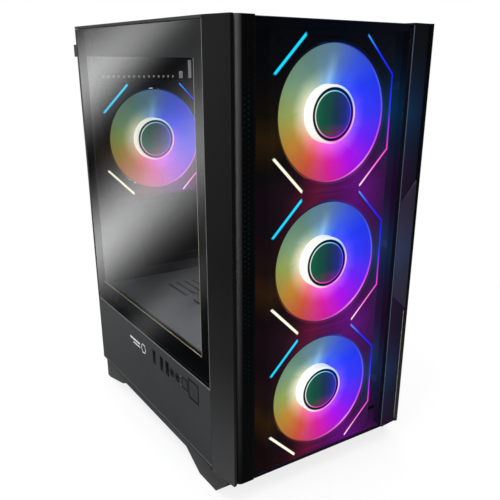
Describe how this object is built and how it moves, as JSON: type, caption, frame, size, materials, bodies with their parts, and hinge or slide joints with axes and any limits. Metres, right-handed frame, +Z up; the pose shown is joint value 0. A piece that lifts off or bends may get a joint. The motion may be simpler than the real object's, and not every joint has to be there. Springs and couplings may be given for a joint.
{
  "type": "desktop computer tower",
  "caption": "Compact glass-fronted desktop computer case with lit front and rear fans, a slide-out side window, side-mounted controls and a moulded footed base.",
  "frame": {"origin": "centre of the bounding box in plan, on the surface the feet stand on", "axes": "+Z up; the glass front faces -Y; the side window faces -X"},
  "size_m": [0.202, 0.302, 0.388],
  "materials": {
    "black_steel": "fine powder coat",
    "smoked_glass": "smoked, polished",
    "side_glass": "lightly smoked, polished",
    "black_print": "gloss ceramic print",
    "black_plastic": "fine grained moulding",
    "satin_inlay": "satin facet",
    "filter_mesh": "woven mesh in a thin frame",
    "fan_plastic": "moulded",
    "light_guide": "lit light guide",
    "glowing_rotor": "lit translucent moulding",
    "foot_rubber": "soft rubber",
    "circuit_board": "solder mask",
    "bare_metal": "plated",
    "jack_plastic": "moulded",
    "clear_lens": "clear light pipe",
    "heatsink_metal": "extruded fins"
  },
  "bodies": {
    "chassis": {"audio_jacks": "jack_plastic", "cpu_cooler": "heatsink_metal", "floor_pan": "black_steel", "foot_blocks": "black_plastic", "foot_pads": "foot_rubber", "front_fan_frame_bottom": "fan_plastic", "front_fan_frame_middle": "fan_plastic", "front_fan_frame_top": "fan_plastic", "front_fan_light_bottom": "light_guide", "front_fan_light_middle": "light_guide", "front_fan_light_top": "light_guide", "front_wall": "black_steel", "io_board": "circuit_board", "io_shield": "bare_metal", "lower_side_panel": "black_steel", "mains_inlet": "black_plastic", "memory_modules": "circuit_board", "motherboard": "circuit_board", "motherboard_tray": "black_steel", "psu_case": "black_steel", "psu_shroud": "black_steel", "rear_fan_frame": "fan_plastic", "rear_fan_light": "light_guide", "rear_panel": "black_steel", "rear_screws": "bare_metal", "roof_panel": "black_steel", "skirt_crossbars": "black_plastic", "skirt_left": "black_plastic", "skirt_right": "black_plastic", "slot_covers": "black_steel", "standoffs": "bare_metal", "status_lights": "clear_lens", "usb_sockets": "bare_metal", "window_frame": "black_steel"},
    "window": {"window_glass": "side_glass", "window_border": "black_print", "window_rear_strip": "black_steel", "window_pull_tab": "black_steel"},
    "right_panel": {"right_side_panel": "black_steel", "thumbscrews": "bare_metal"},
    "front_panel": {"bezel_left_strip": "black_plastic", "bezel_right_strip": "black_plastic", "bezel_left_rail": "black_plastic", "bezel_right_rail": "black_plastic", "rail_inlay": "satin_inlay", "bezel_top_bar": "black_plastic", "bezel_bottom_bar": "black_plastic", "bezel_studs": "black_plastic", "front_glass": "smoked_glass"},
    "roof_filter": {"top_filter": "filter_mesh"},
    "base_filter": {"psu_filter": "filter_mesh"},
    "power_key": {"power_button": "black_plastic"},
    "reset_key": {"reset_button": "black_plastic"},
    "rocker": {"psu_switch": "black_plastic"},
    "front_rotor_top": {"front_fan_rotor_top": "glowing_rotor"},
    "front_rotor_middle": {"front_fan_rotor_middle": "glowing_rotor"},
    "front_rotor_bottom": {"front_fan_rotor_bottom": "glowing_rotor"},
    "rear_rotor": {"rear_fan_rotor": "glowing_rotor"},
    "cooler_fan": {"cooler_rotor": "black_plastic"},
    "psu_fan": {"psu_rotor": "black_plastic"}
  },
  "joints": [
    {"name": "window_slide", "type": "slide", "parent": "chassis", "child": "window", "axis": [0, 1, 0], "range_m": [0, 0.27]},
    {"name": "right_panel_slide", "type": "slide", "parent": "chassis", "child": "right_panel", "axis": [0, 1, 0], "range_m": [0, 0.27]},
    {"name": "front_panel_pull", "type": "slide", "parent": "chassis", "child": "front_panel", "axis": [0, -1, 0], "range_m": [0, 0.06]},
    {"name": "roof_filter_lift", "type": "slide", "parent": "chassis", "child": "roof_filter", "axis": [0, 0, 1], "range_m": [0, 0.03]},
    {"name": "base_filter_slide", "type": "slide", "parent": "chassis", "child": "base_filter", "axis": [0, 1, 0], "range_m": [0, 0.14]},
    {"name": "power_press", "type": "slide", "parent": "chassis", "child": "power_key", "axis": [1, 0, 0], "range_m": [0, 0.0012], "stiffness_N_per_m": 900, "springref_m": -0.0008},
    {"name": "reset_press", "type": "slide", "parent": "chassis", "child": "reset_key", "axis": [1, 0, 0], "range_m": [0, 0.001], "stiffness_N_per_m": 700, "springref_m": -0.0008},
    {"name": "rocker_tilt", "type": "hinge", "parent": "chassis", "child": "rocker", "pos_m": [0.046, 0.1415, 0.0503], "axis": [1, 0, 0], "range_deg": [0, 16]},
    {"name": "front_top_spin", "type": "hinge", "parent": "chassis", "child": "front_rotor_top", "pos_m": [0, -0.1325, 0.3204], "axis": [0, 1, 0], "continuous": true},
    {"name": "front_middle_spin", "type": "hinge", "parent": "chassis", "child": "front_rotor_middle", "pos_m": [0, -0.1325, 0.2003], "axis": [0, 1, 0], "continuous": true},
    {"name": "front_bottom_spin", "type": "hinge", "parent": "chassis", "child": "front_rotor_bottom", "pos_m": [0, -0.1325, 0.0802], "axis": [0, 1, 0], "continuous": true},
    {"name": "rear_spin", "type": "hinge", "parent": "chassis", "child": "rear_rotor", "pos_m": [-0.0305, 0.1295, 0.2765], "axis": [0, 1, 0], "continuous": true},
    {"name": "cooler_spin", "type": "hinge", "parent": "chassis", "child": "cooler_fan", "pos_m": [0.03, 0.045, 0.286], "axis": [1, 0, 0], "continuous": true},
    {"name": "psu_spin", "type": "hinge", "parent": "chassis", "child": "psu_fan", "pos_m": [0, 0.071, 0.032], "axis": [0, 0, 1], "continuous": true}
  ]
}
